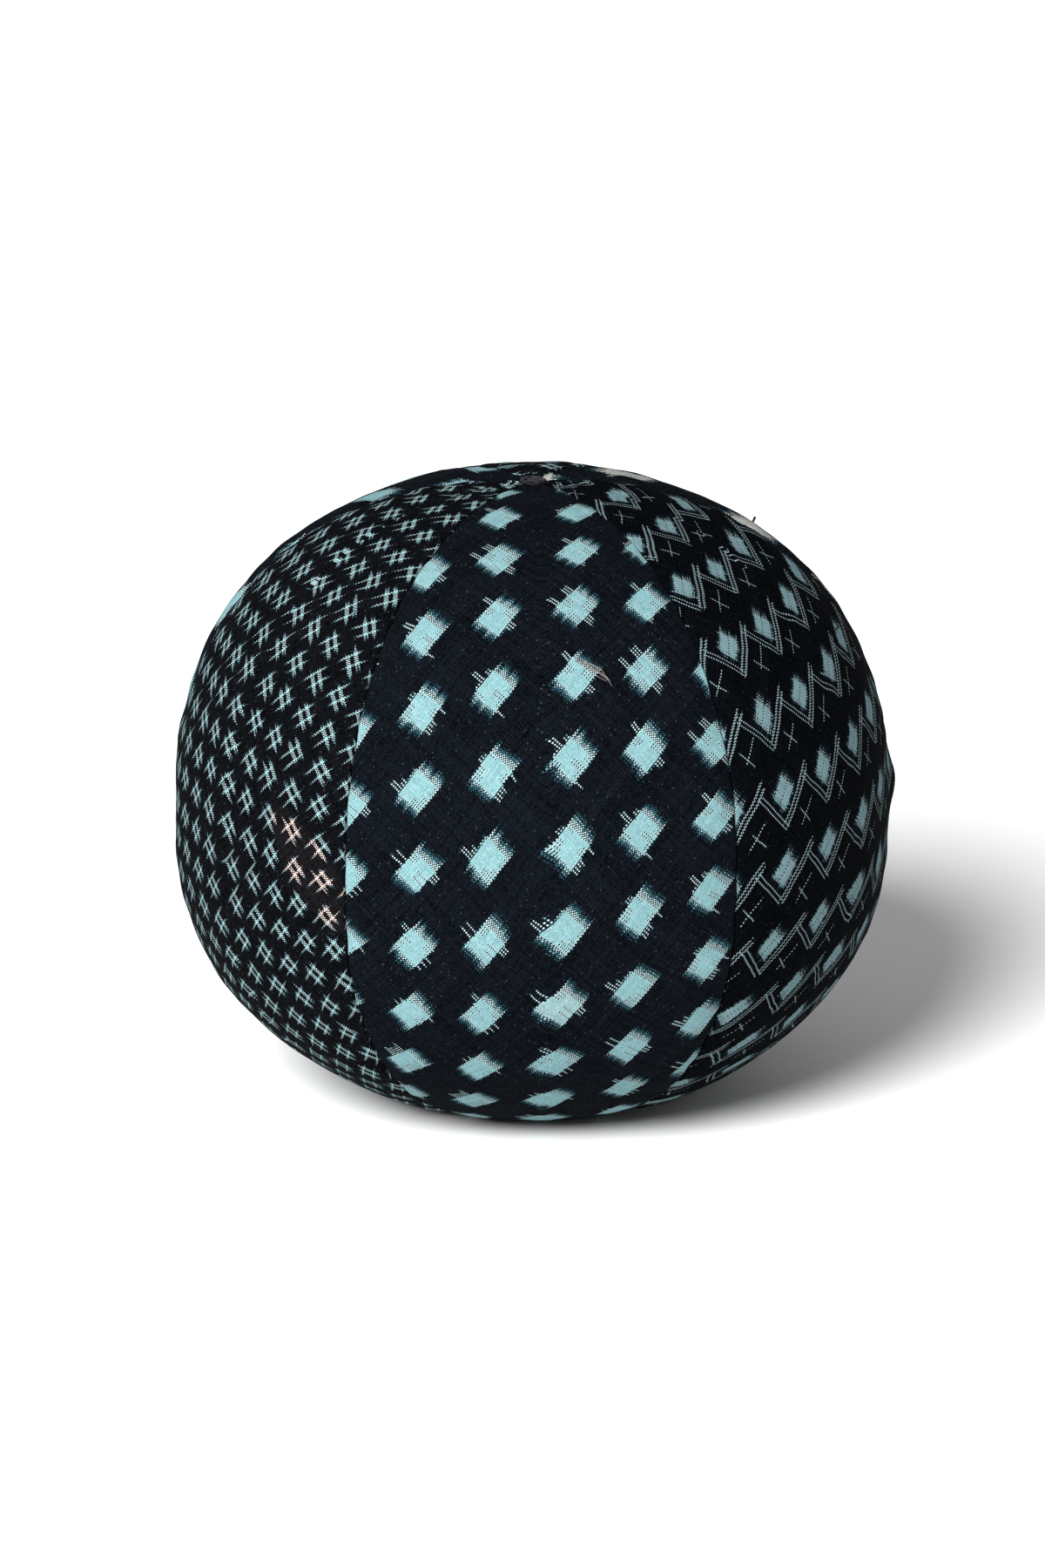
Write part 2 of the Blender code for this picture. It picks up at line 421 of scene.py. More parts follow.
def marks_on(tree, thread, along, step_across, step_along, slip, marks):
    """How pale one set of threads is, from 0 to 1, at each crossing.

    Tied stretches repeat every two steps along a thread, and a step across moves them on by one.
    A mark is its middle thread and half its threads, its middle and half its length along them,
    and how many crossings its ends take to fade.
    """
    strip = add(
        tree,
        "ShaderNodeMath",
        {"operation": "ROUND"},
        {0: add(tree, "ShaderNodeMath", {"operation": "DIVIDE"}, {0: thread, 1: step_across})},
    )
    local = add(tree, "ShaderNodeMath", {"operation": "MULTIPLY_ADD"}, {0: strip, 1: -step_across, 2: thread})
    moved = add(tree, "ShaderNodeMath", {"operation": "MULTIPLY_ADD"}, {0: strip, 1: -step_along, 2: along})
    slipped = add(tree, "ShaderNodeMath", {"operation": "ADD"}, {0: moved, 1: slip})
    pale = None
    for middle, half, centre, reach, fade in marks:
        inside = add(tree, "ShaderNodeMath", {"operation": "COMPARE"}, {0: local, 1: middle, 2: half})
        wrapped = add(
            tree,
            "ShaderNodeMath",
            {"operation": "WRAP"},
            {0: slipped, 1: centre + step_along, 2: centre - step_along},
        )
        away = add(
            tree,
            "ShaderNodeMath",
            {"operation": "ABSOLUTE"},
            {0: add(tree, "ShaderNodeMath", {"operation": "SUBTRACT"}, {0: wrapped, 1: centre})},
        )
        near = add(
            tree,
            "ShaderNodeMapRange",
            None,
            {"Value": away, "From Min": reach + fade, "From Max": reach - 0.5, "To Min": 0.0, "To Max": 1.0},
        )
        mark = add(tree, "ShaderNodeMath", {"operation": "MULTIPLY"}, {0: near, 1: inside})
        if pale is None:
            pale = mark
        else:
            pale = add(tree, "ShaderNodeMath", {"operation": "MAXIMUM"}, {0: pale, 1: mark})
    return pale


def slip_of(tree, thread, group, chance, least, spread, loose):
    """How many crossings each thread's marks have slipped.

    Threads were tied in groups. Some of a group's odd threads slip, all as far, and stand out as a comb.
    """
    bundle = add(
        tree,
        "ShaderNodeMath",
        {"operation": "FLOOR"},
        {0: add(tree, "ShaderNodeMath", {"operation": "DIVIDE"}, {0: thread, 1: group})},
    )
    thrown = add(tree, "ShaderNodeTexWhiteNoise", {"noise_dimensions": "1D"}, {"W": bundle})
    size = add(
        tree,
        "ShaderNodeMath",
        {"operation": "MULTIPLY_ADD"},
        {0: thrown.outputs["Value"], 1: spread, 2: least},
    )
    own = add(tree, "ShaderNodeTexWhiteNoise", {"noise_dimensions": "1D"}, {"W": thread})
    dice = add(tree, "ShaderNodeSeparateColor", None, {0: own.outputs["Color"]})
    odd = add(tree, "ShaderNodeMath", {"operation": "FLOORED_MODULO"}, {0: thread, 1: 2.0})
    likely = add(tree, "ShaderNodeMath", {"operation": "MULTIPLY"}, {0: odd, 1: chance})
    far = add(tree, "ShaderNodeMath", {"operation": "LESS_THAN"}, {0: dice.outputs["Red"], 1: likely})
    small = add(
        tree,
        "ShaderNodeMath",
        {"operation": "MULTIPLY_ADD"},
        {0: dice.outputs["Green"], 1: loose, 2: -loose / 2},
    )
    return add(tree, "ShaderNodeMath", {"operation": "MULTIPLY_ADD"}, {0: far, 1: size, 2: small})


def ikat_cotton(name, dyes, steps, warp_marks, weft_marks, warp_slip, weft_slip, drift=0.0, patch=None):
    """Matt plain-weave cotton with tied-and-dyed marks. Each crossing shows the thread on top.

    steps are the warps and wefts between the middles of neighbouring marks. The counts come from
    the UV map, which spaces the threads 0.13 to 0.20 mm apart.
    """
    material, tree, shader = blank_material(name)
    count = add(tree, "ShaderNodeUVMap", {"uv_map": UV_NAME})
    waver = add(
        tree,
        "ShaderNodeTexNoise",
        {"noise_dimensions": "2D"},
        {"Vector": count, "Scale": 0.035, "Detail": 2.0, "Roughness": 0.6},
    )
    bend = add(
        tree,
        "ShaderNodeVectorMath",
        {"operation": "MULTIPLY_ADD"},
        {0: waver.outputs["Color"], 1: (3.0, 3.0, 0.0), 2: count},
    )
    counted = add(tree, "ShaderNodeSeparateXYZ", None, {0: bend})
    warp = add(tree, "ShaderNodeMath", {"operation": "FLOOR"}, {0: counted.outputs["X"]})
    weft = add(tree, "ShaderNodeMath", {"operation": "FLOOR"}, {0: counted.outputs["Y"]})

    wander = add(
        tree,
        "ShaderNodeTexNoise",
        {"noise_dimensions": "2D"},
        {"Vector": count, "Scale": 0.011, "Detail": 1.0},
    )
    drifted = add(
        tree, "ShaderNodeMath", {"operation": "MULTIPLY_ADD"}, {0: wander, 1: drift, 2: -drift / 2}
    )
    warp_slipped = add(
        tree, "ShaderNodeMath", {"operation": "ADD"}, {0: slip_of(tree, warp, *warp_slip), 1: drifted}
    )
    weft_slipped = add(
        tree, "ShaderNodeMath", {"operation": "ADD"}, {0: slip_of(tree, weft, *weft_slip), 1: drifted}
    )
    warp_pale = marks_on(tree, warp, weft, steps[0], steps[1], warp_slipped, warp_marks)
    weft_pale = marks_on(tree, weft, warp, steps[1], steps[0], weft_slipped, weft_marks)

    both = add(tree, "ShaderNodeMath", {"operation": "MULTIPLY"}, {0: warp_pale, 1: weft_pale})
    parity = add(tree, "ShaderNodeMath", {"operation": "ADD"}, {0: warp, 1: weft})
    warp_over = add(tree, "ShaderNodeMath", {"operation": "FLOORED_MODULO"}, {0: parity, 1: 2.0})
    top = add(tree, "ShaderNodeMix", {"data_type": "FLOAT"}, {0: warp_over, 2: weft_pale, 3: warp_pale})

    thread_noise = []
    for thread in (warp, weft):
        seed = add(tree, "ShaderNodeMath", {"operation": "ADD"}, {0: thread, 1: 0.37})
        thread_noise.append(add(tree, "ShaderNodeTexWhiteNoise", {"noise_dimensions": "1D"}, {"W": seed}))
    top_dice = add(
        tree, "ShaderNodeMix", {"data_type": "FLOAT"}, {0: warp_over, 2: thread_noise[1], 3: thread_noise[0]}
    )
    dye_cloud = add(
        tree,
        "ShaderNodeTexNoise",
        {"noise_dimensions": "2D"},
        {"Vector": count, "Scale": 0.03, "Detail": 3.0, "Roughness": 0.65},
    )
    crossing = add(tree, "ShaderNodeCombineXYZ", None, {0: warp, 1: weft})
    thrown = add(tree, "ShaderNodeTexWhiteNoise", {"noise_dimensions": "2D"}, {"Vector": crossing})
    fluff = add(tree, "ShaderNodeSeparateColor", None, {0: thrown.outputs["Color"]})
    dice_sum = add(tree, "ShaderNodeMath", {"operation": "ADD"}, {0: top_dice, 1: fluff.outputs["Red"]})
    clouded = add(tree, "ShaderNodeMath", {"operation": "ADD"}, {0: dice_sum, 1: dye_cloud})
    uneven = add(
        tree, "ShaderNodeMath", {"operation": "MULTIPLY_ADD"}, {0: clouded, 1: 0.5, 2: -0.25}
    )
    ground = add(
        tree,
        "ShaderNodeMix",
        {"data_type": "RGBA"},
        {0: uneven, 6: linear(dyes["deep"]), 7: linear(dyes["light"])},
    )
    speck = add(
        tree, "ShaderNodeMath", {"operation": "GREATER_THAN"}, {0: fluff.outputs["Blue"], 1: 1 - LINT_SHARE}
    )
    ground = add(
        tree,
        "ShaderNodeMix",
        {"data_type": "RGBA"},
        {0: speck, 6: ground.outputs[2], 7: linear(dyes["lint"])},
    )
    ground = ground.outputs[2]
    solid = linear(dyes["solid"])
    single = linear(dyes["single"])
    if patch is not None:
        centre, reach, strength = patch
        offset = add(tree, "ShaderNodeVectorMath", {"operation": "SUBTRACT"}, {0: count, 1: (*centre, 0.0)})
        scaled = add(
            tree,
            "ShaderNodeVectorMath",
            {"operation": "MULTIPLY"},
            {0: offset, 1: (1 / reach[0], 1 / reach[1], 0.0)},
        )
        far = add(tree, "ShaderNodeVectorMath", {"operation": "LENGTH"}, {0: scaled})
        undyed = add(
            tree,
            "ShaderNodeMapRange",
            None,
            {
                "Value": far.outputs["Value"],
                "From Min": 1.0,
                "From Max": 0.85,
                "To Min": 0.0,
                "To Max": strength,
            },
        )
        blends = [
            add(tree, "ShaderNodeMix", {"data_type": "RGBA"}, {0: undyed, 6: dyed, 7: linear(UNDYED)})
            for dyed in (solid, single)
        ]
        solid, single = (blend.outputs[2] for blend in blends)
        thin = add(tree, "ShaderNodeMath", {"operation": "MULTIPLY"}, {0: undyed, 1: uneven})
        ground = add(
            tree, "ShaderNodeMix", {"data_type": "RGBA"}, {0: thin, 6: ground, 7: linear(UNDYED_GROUND)}
        ).outputs[2]
    washed = add(
        tree, "ShaderNodeMath", {"operation": "MULTIPLY_ADD"}, {0: fluff.outputs["Green"], 1: -0.4, 2: 1.0}
    )
    dyed_through = add(tree, "ShaderNodeMath", {"operation": "MULTIPLY"}, {0: both, 1: washed})
    pale = add(
        tree,
        "ShaderNodeMix",
        {"data_type": "RGBA"},
        {0: dyed_through, 6: single, 7: solid},
    )
    seeping = add(
        tree,
        "ShaderNodeMapRange",
        None,
        {"Value": top, "From Min": 0.0, "From Max": 0.55, "To Min": 0.0, "To Max": 1.0},
    )
    seeped = add(
        tree,
        "ShaderNodeMix",
        {"data_type": "RGBA"},
        {0: seeping, 6: ground, 7: linear(dyes["seep"])},
    )
    clearing = add(
        tree,
        "ShaderNodeMapRange",
        None,
        {"Value": top, "From Min": 0.5, "From Max": 0.95, "To Min": 0.0, "To Max": 1.0},
    )
    dyed = add(
        tree,
        "ShaderNodeMix",
        {"data_type": "RGBA"},
        {0: clearing, 6: seeped.outputs[2], 7: pale.outputs[2]},
    )

    # Rounded threads: the one on top falls away quickly to its sides and slowly along its length. Its colour
    # is painted darker where it falls away and lighter on its crown, as painted shade and highlight beside
    # the bump.
    falls = []
    for axis in ("X", "Y"):
        part = add(tree, "ShaderNodeMath", {"operation": "FRACT"}, {0: counted.outputs[axis]})
        centred = add(tree, "ShaderNodeMath", {"operation": "SUBTRACT"}, {0: part, 1: 0.5})
        falls.append(add(tree, "ShaderNodeMath", {"operation": "MULTIPLY"}, {0: centred, 1: centred}))
    across = add(tree, "ShaderNodeMix", {"data_type": "FLOAT"}, {0: warp_over, 2: falls[1], 3: falls[0]})
    slopes = add(tree, "ShaderNodeMath", {"operation": "ADD"}, {0: falls[0], 1: falls[1]})
    steep = add(tree, "ShaderNodeMath", {"operation": "MULTIPLY_ADD"}, {0: across, 1: 1.8, 2: slopes})
    height = add(tree, "ShaderNodeMath", {"operation": "SUBTRACT"}, {0: 1.0, 1: steep})
    # painted shade and highlight: the dye is scaled from 0.5 where a thread falls away to 1.15 on its crown
    shade = add(
        tree,
        "ShaderNodeMapRange",
        None,
        {"Value": height, "From Min": 0.2, "From Max": 0.95, "To Min": 0.5, "To Max": 1.15},
    )
    glow = add(
        tree, "ShaderNodeMath", {"operation": "MULTIPLY_ADD"}, {0: dice_sum, 1: 0.24, 2: 0.76}
    )
    # each thread's random tone times its painted shade and highlight
    painted_shade_and_tone = add(tree, "ShaderNodeMath", {"operation": "MULTIPLY"}, {0: shade, 1: glow})
    lit = add(
        tree,
        "ShaderNodeVectorMath",
        {"operation": "SCALE"},
        {0: dyed.outputs[2], "Scale": painted_shade_and_tone},
    )
    bump = add(tree, "ShaderNodeBump", None, {"Height": height, "Distance": 0.00006, "Strength": 0.6})
    dull = add(
        tree,
        "ShaderNodeMapRange",
        None,
        {"Value": height, "From Min": 0.0, "From Max": 1.0, "To Min": 0.98, "To Max": 0.82},
    )
    tree.links.new(lit.outputs[0], shader.inputs["Base Color"])
    tree.links.new(bump.outputs["Normal"], shader.inputs["Normal"])
    tree.links.new(dull.outputs[0], shader.inputs["Roughness"])
    shader.inputs["IOR"].default_value = 1.5
    shader.inputs["Specular IOR Level"].default_value = 0.01
    return material


# A plain square: both sets of threads tied over the same stretch, warps with long soft ends.
SQUARE_STEPS = (38, 34)
SQUARE_WARPS = [(0.0, 11.0, 1.0, 9.5, 5.0)]
SQUARE_WEFTS = [(0.0, 8.0, 0.0, 11.0, 1.0)]

# A split square on a V of paired lines, and a cross between the Vs.
ZIGZAG_STEPS = (36, 33)
ZIGZAG_WARPS = [
    (-4.2, 3.2, 1.5, 6.5, 5.0),
    (3.8, 3.2, 1.5, 6.5, 5.0),
    (12.5, 1.0, 6.5, 20.0, 1.0),
    (16.5, 1.0, 6.5, 20.0, 1.0),
    (-5.0, 0.5, -29.5, 9.0, 1.5),
]
ZIGZAG_WEFTS = [
    (0.0, 7.0, 0.0, 7.0, 3.5),
    (-12.0, 0.5, -3.0, 18.5, 1.0),
    (-15.0, 0.5, -3.0, 18.5, 1.0),
    (1.0, 0.5, 31.0, 8.0, 1.5),
]

# A well-frame mark: two bars each way, crossing round a dark middle.
HASH_STEPS = (24, 14)
HASH_WARPS = [(-4.5, 1.0, -2.0, 7.0, 4.0), (4.5, 1.0, -1.0, 6.0, 4.0)]
HASH_WEFTS = [(-3.0, 1.0, 1.5, 7.5, 3.5), (3.0, 1.0, 1.0, 7.0, 3.5)]

# ---------------------------------------------------------------------------------------------
# The six gores
# Lens-shaped pieces cut from four patchwork cottons. Each is sewn to the next along its edge, and
# its seam allowance is turned in and lies against the back of the cloth.

SEAM_ALLOWANCE = 0.004
FOLD_RADIUS = 0.00043
FOLD_HALF_WIDTH = 0.0002  # the fold is pressed, so it is narrower than it is deep
SEAM_HALF_GAP = 0.00004
FOLD_STEPS = 6
ALLOWANCE_STEPS = 4
SIDE_STEPS = 24
ROWS = 130
MILLIMETRE = 0.001
PATTERN_DROP = 0.0007  # from the widest line down to the one that the patterns are placed from
pattern_run = equator_run + PATTERN_DROP


def half_section(half_arc):
    """Places across a gore from its turned-in edge to its middle.

    Each is its distance from the seam, its depth, and how far it lies past the middle of the fold.
    """
    fold = SEAM_HALF_GAP + FOLD_HALF_WIDTH
    turned_in = min(SEAM_ALLOWANCE, 0.8 * (half_arc - fold))
    bent = math.pi * FOLD_RADIUS / 2
    places = []
    for step in range(ALLOWANCE_STEPS):
        reach = turned_in * (1 - step / ALLOWANCE_STEPS)
        places.append((fold + reach, 2 * FOLD_RADIUS, -bent - reach))
    for step in range(FOLD_STEPS + 1):
        angle = math.pi * step / FOLD_STEPS
        offset = fold - FOLD_HALF_WIDTH * math.sin(angle)
        depth = FOLD_RADIUS * (1 + math.cos(angle))
        places.append((offset, depth, FOLD_RADIUS * angle - bent))
    for step in range(1, SIDE_STEPS + 1):
        reach = (half_arc - fold) * (step / SIDE_STEPS) ** 1.5
        places.append((fold + reach, 0.0, bent + reach))
    return places


def gore(name, first_seam, second_seam, thread_count):
    """One gore on the filled ball, with the cloth's thread count as its UV map."""
    half_turn = (second_seam - first_seam) / 2
    middle_turn = (first_seam + second_seam) / 2
    rows = []
    for row in range(ROWS + 1):
        run = full_run * row / ROWS
        radius = at_run(run).x
        left = half_section(radius * half_turn)
        right = [(offset, depth, cloth) for offset, depth, cloth in reversed(left[:-1])]
        section = [(-1, *place) for place in left] + [(1, *place) for place in right]
        rows.append((run, radius, radius * half_turn, section))
    columns = len(rows[0][3])
    sheet = bmesh.new()
    bmesh.ops.create_grid(sheet, x_segments=columns - 1, y_segments=ROWS, size=1.0)
    counts = sheet.loops.layers.uv.new(UV_NAME)
    flat = {}
    for vertex in sheet.verts:
        column = round((vertex.co.x + 1) / 2 * (columns - 1))
        row = round((1 - vertex.co.y) / 2 * ROWS)
        run, radius, half_arc, section = rows[row]
        side, offset, depth, cloth = section[column]
        turn = middle_turn + side * (half_arc - offset) / radius
        share = min(1.0, max(0.0, (turn - first_seam) / (second_seam - first_seam)))
        vertex.co = cover_point(run, turn, offset, share, depth)
        across = side * (half_arc - cloth) / MILLIMETRE
        up = (pattern_run - run) / MILLIMETRE
        flat[vertex] = thread_count(across, up)
    for face in sheet.faces:
        face.smooth = True
        for loop in face.loops:
            loop[counts].uv = flat[loop.vert]
    mesh = bpy.data.meshes.new(name)
    sheet.to_mesh(mesh)
    sheet.free()
    item = bpy.data.objects.new(name, mesh)
    bpy.context.scene.collection.objects.link(item)
    finer = item.modifiers.new("finer", "SUBSURF")
    finer.levels = 1
    finer.render_levels = 1
    wall = item.modifiers.new("cloth", "SOLIDIFY")
    wall.thickness = CLOTH_THICKNESS
    wall.offset = -1.0
    return item


# Where each gore was cut from its cloth: how many warps and wefts a point lies from a mark's middle.
# Down-right runs a weft and up-right a warp. For the front, left and right gores the coefficients
# are fitted numbers that follow the marks of a real ball. The rear ones are chosen.


def front_cut(across, up):
    column = -0.3309 + 0.12837 * across - 0.00522 * up + 1e-5 * up**2 - 1.17e-5 * across**3
    row = 0.5754 + 0.0202 * across - 0.10577 * up + 1.06e-4 * across**2 + 5.8e-5 * up**2
    column += 7.5e-7 * across * up**2
    row -= 5.58e-5 * up * across**2 + 4.27e-6 * up**3
    return SQUARE_STEPS[0] * (column + row), SQUARE_STEPS[1] * (column - row)


def left_cut(across, up):
    column = -2.534 + 0.26 * across + 0.0351 * up - 1.5e-4 * across**2 + 1.9e-5 * up**2
    row = 7.003 - 0.0503 * across - 0.2407 * up + 3.59e-4 * across * up + 1.92e-4 * up**2
    column += 1.35e-5 * across**3 - 5.4e-6 * up * across**2 + 7.8e-6 * across * up**2 + 1.6e-6 * up**3
    row -= 9.1e-5 * up * across**2 + 7.5e-6 * across * up**2 + 5.8e-6 * up**3
    return HASH_STEPS[0] * (column + row), HASH_STEPS[1] * (column - row)


def right_cut(across, up):
    column = 1.7356 + 0.1369 * across - 0.0094 * up + 3.9e-4 * across**2 + 5.4e-4 * up**2
    row = 2.3726 + 0.0233 * across - 0.12115 * up + 1.5e-4 * across**2 + 2.95e-4 * up**2
    column -= 1.05e-4 * across * up + 2.1e-5 * up * across**2 + 1.22e-5 * up**3
    column += 8.6e-6 * across**3 + 5.1e-6 * across * up**2
    row -= 9e-5 * across * up + 6.6e-6 * up**3
    row += 4e-6 * across**3 + 6.2e-6 * across * up**2
    return ZIGZAG_STEPS[0] * (column + row), ZIGZAG_STEPS[1] * (column - row)


def rear_left_cut(across, up):
    column = 0.2 + 0.112 * across + 0.004 * up
    row = 0.1 + 0.012 * across - 0.094 * up
    return SQUARE_STEPS[0] * (column + row), SQUARE_STEPS[1] * (column - row)


def rear_right_cut(across, up):
    column = 0.35 + 0.1 * across - 0.008 * up
    row = 0.3 + 0.01 * across - 0.086 * up
    return SQUARE_STEPS[0] * (column + row), SQUARE_STEPS[1] * (column - row)


def rear_cut(across, up):
    column = 0.3 + 0.252 * across + 0.02 * up
    row = 0.2 - 0.03 * across - 0.238 * up
    return HASH_STEPS[0] * (column + row), HASH_STEPS[1] * (column - row)


WARP_SLIP = (3.0, 0.8, -3.0, 6.0, 2.0)
WEFT_SLIP = (5.5, 0.85, -9.0, 22.0, 2.5)
FINE_SLIP = (3.0, 0.8, -3.5, 7.0, 2.0)
HASH_SLIP = (2.0, 0.9, -4.5, 9.0, 3.0)
UNDYED_PATCH = ((180.0, -62.0), (68.0, 19.0), 1.0)
GREYER_SQUARE = ((76.0, -68.0), (16.0, 16.0), 0.1)

navy_square = ikat_cotton(
    "navy_square_ikat",
    NAVY,
    SQUARE_STEPS,
    SQUARE_WARPS,
    SQUARE_WEFTS,
    WARP_SLIP,
    WEFT_SLIP,
    patch=GREYER_SQUARE,
)
navy_zigzag = ikat_cotton(
    "navy_zigzag_ikat", BLUE_BLACK, ZIGZAG_STEPS, ZIGZAG_WARPS, ZIGZAG_WEFTS, FINE_SLIP, FINE_SLIP
)
black_hash = ikat_cotton(
    "black_hash_ikat",
    BLACK,
    HASH_STEPS,
    HASH_WARPS,
    HASH_WEFTS,
    HASH_SLIP,
    HASH_SLIP,
    drift=12.0,
    patch=UNDYED_PATCH,
)
pale_square = ikat_cotton(
    "pale_square_ikat", PALE, SQUARE_STEPS, SQUARE_WARPS, SQUARE_WEFTS, WARP_SLIP, WEFT_SLIP
)

GORES = (
    ("front", "front_panel", "navy_square_ikat", navy_square, front_cut),
    ("right", "right_panel", "navy_zigzag_ikat", navy_zigzag, right_cut),
    ("rear_right", "rear_right_panel", "pale_square_ikat", pale_square, rear_right_cut),
    ("rear", "rear_panel", "black_hash_ikat", black_hash, rear_cut),
    ("rear_left", "rear_left_panel", "navy_square_ikat", navy_square, rear_left_cut),
    ("left", "left_panel", "black_hash_ikat", black_hash, left_cut),
)


def flat_area(turn_across):
    """Area of a gore before it is sewn, with its seam allowances."""
    area = 0.0
    for start, end in zip(range(ROWS), range(1, ROWS + 1)):
        radius = (at_run(full_run * start / ROWS).x + at_run(full_run * end / ROWS).x) / 2
        width = radius * turn_across
        area += (width + 2 * min(SEAM_ALLOWANCE, 0.4 * width)) * full_run / ROWS
    return area


for (side, panel, slot, cloth, cut), first_seam, second_seam in zip(GORES, seams, seam_ends):
    item = gore(f"{side}_gore", first_seam, second_seam, cut)
    give(item, cloth)
    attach(item, "root")
    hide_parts(panel)
    flat_area(second_seam - first_seam)

# ---------------------------------------------------------------------------------------------
# Sewing thread
# Black two-ply cotton, 0.3 mm thick. It runs in every seam, closes the filling gap in a ladder
# stitch, and is wound a few times through the six tips at each pole.

THREAD_TWIST = 0.0006
THREAD_BLACK = "0B0B0E"
THREAD_PLY_HIGHLIGHT = "24242A"


def black_cotton_thread():
    """Spun cotton dyed black: dull, with fine light and dark slants from its twist, painted into its colour
    as highlight on the plies and shade between them.
    """
    material, tree, shader = blank_material("black_cotton_thread")
    place = add(tree, "ShaderNodeTexCoord").outputs["Object"]
    ply = add(
        tree,
        "ShaderNodeTexWave",
        {"wave_type": "BANDS", "bands_direction": "DIAGONAL"},
        {"Vector": place, "Scale": 0.3 / THREAD_TWIST, "Distortion": 1.5, "Detail": 2.0},
    )
    # painted highlight on the ply ridges and painted shade between them, on the same bands as the bump
    colour = add(
        tree,
        "ShaderNodeMix",
        {"data_type": "RGBA"},
        {0: ply.outputs["Fac"], 6: linear(THREAD_BLACK), 7: linear(THREAD_PLY_HIGHLIGHT)},
    )
    bump = add(
        tree, "ShaderNodeBump", None, {"Height": ply.outputs["Fac"], "Distance": 0.00004, "Strength": 0.7}
    )
    tree.links.new(colour.outputs[2], shader.inputs["Base Color"])
    tree.links.new(bump.outputs["Normal"], shader.inputs["Normal"])
    shader.inputs["Roughness"].default_value = 0.8
    shader.inputs["Specular IOR Level"].default_value = 0.2
    shader.inputs["Sheen Weight"].default_value = 0.05
    return material


thread_material = black_cotton_thread()
THREAD_RADIUS = 0.00015
STITCH_DEPTH = 0.00085  # midway through the turned-in edges
STITCH_LENGTH = 0.0022
STITCH_SIDEWAYS = 0.0003
ROUTE_STEP = 0.0005
SEAM_START = 0.0022  # down from a pole
CLOSING_LENGTH = 0.034
CLOSING_HEIGHT = 0.026
RUNG_PITCH = 0.0025
RUNG_REACH = 0.0005
KNOT_TURNS = 9
KNOT_STEPS = 16  # to a turn
KNOT_RADIUS = 0.0013
SEAM_NAMES = ("front_left", "front_right", "right", "rear_right", "rear_left", "left")


def strands(name, routes, radius, material):
    """Threads or fibres as round tubes along their routes, in one piece."""
    curve = bpy.data.curves.new(name, "CURVE")
    curve.dimensions = "3D"
    curve.bevel_depth = radius
    curve.bevel_resolution = 2
    curve.use_fill_caps = True
    for route in routes:
        line = curve.splines.new("POLY")
        line.points.add(len(route) - 1)
        for point, place in zip(line.points, route):
            point.co = (*place, 1.0)
    item = bpy.data.objects.new(name, curve)
    bpy.context.scene.collection.objects.link(item)
    give(item, material)
    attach(item, "root")
    return item


def seam_place(seam, run, sideways, depth):
    """A point by a seam, so far to one side of it and so far into the cover."""
    turn = seam + sideways / at_run(run).x
    return cover_point(run, turn, abs(sideways), 0.0, depth)


def running_stitch(seam, start, end):
    """A thread that weaves from side to side through both turned-in edges."""
    route = []
    for step in range(round((end - start) / ROUTE_STEP) + 1):
        run = start + step * ROUTE_STEP
        sway = math.sin(math.pi * (run - start) / STITCH_LENGTH)
        route.append(seam_place(seam, run, STITCH_SIDEWAYS * sway, STITCH_DEPTH))
    return route


closing_middle = run_to(CLOSING_HEIGHT)
closing_start = closing_middle - CLOSING_LENGTH / 2
closing_end = closing_middle + CLOSING_LENGTH / 2
for side, seam in zip(SEAM_NAMES, seams):
    stretches = [(SEAM_START, full_run - SEAM_START)]
    replaced = [f"{side}_seam_thread"]
    if side == "rear_left":
        stretches = [(SEAM_START, closing_start), (closing_end, full_run - SEAM_START)]
        replaced = ["rear_left_seam_thread_upper", "rear_left_seam_thread_lower"]
    routes = [running_stitch(seam, *stretch) for stretch in stretches]
    stitches = strands(f"{side}_seam_stitches", routes, THREAD_RADIUS, thread_material)
    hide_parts(*replaced)

closing_seam = seams[SEAM_NAMES.index("rear_left")]
ladder = []
for rung in range(int(CLOSING_LENGTH / RUNG_PITCH)):
    run = closing_start + (rung + 0.5) * RUNG_PITCH
    hand = 1 if rung % 2 else -1
    for reach, depth in ((-1, 0.0004), (-0.9, 0.00005), (0.9, 0.00005), (1, 0.0004)):
        ladder.append(seam_place(closing_seam, run, hand * reach * RUNG_REACH, depth))
ladder_stitch = strands("ladder_stitches", [ladder], THREAD_RADIUS, thread_material)
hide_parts("closing_ladder_stitch")


def wound_knot(middle):
    """A few turns of thread, wound round the six tips and pulled down into the hole they leave."""
    route = []
    for step in range(KNOT_TURNS * KNOT_STEPS + 1):
        share = step / (KNOT_TURNS * KNOT_STEPS)
        angle = 2 * math.pi * KNOT_TURNS * share
        radius = KNOT_RADIUS * (0.1 + 0.9 * abs(math.sin(1.5 * math.pi * share)))
        lift = THREAD_RADIUS * 2 * math.sin(0.37 * angle)
        route.append(middle + Vector((radius * math.cos(angle), radius * math.sin(angle), lift)))
    return route


crown_height = cover_point(0.0, 0.0, 0.0, 0.0, STITCH_DEPTH / 2).z
for end, height in (("crown", crown_height), ("base", 3 * THREAD_RADIUS)):
    route = wound_knot(Vector((0.0, 0.0, height)))
    knot = strands(f"{end}_knot", [route], THREAD_RADIUS, thread_material)
    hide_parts(f"{end}_tack")

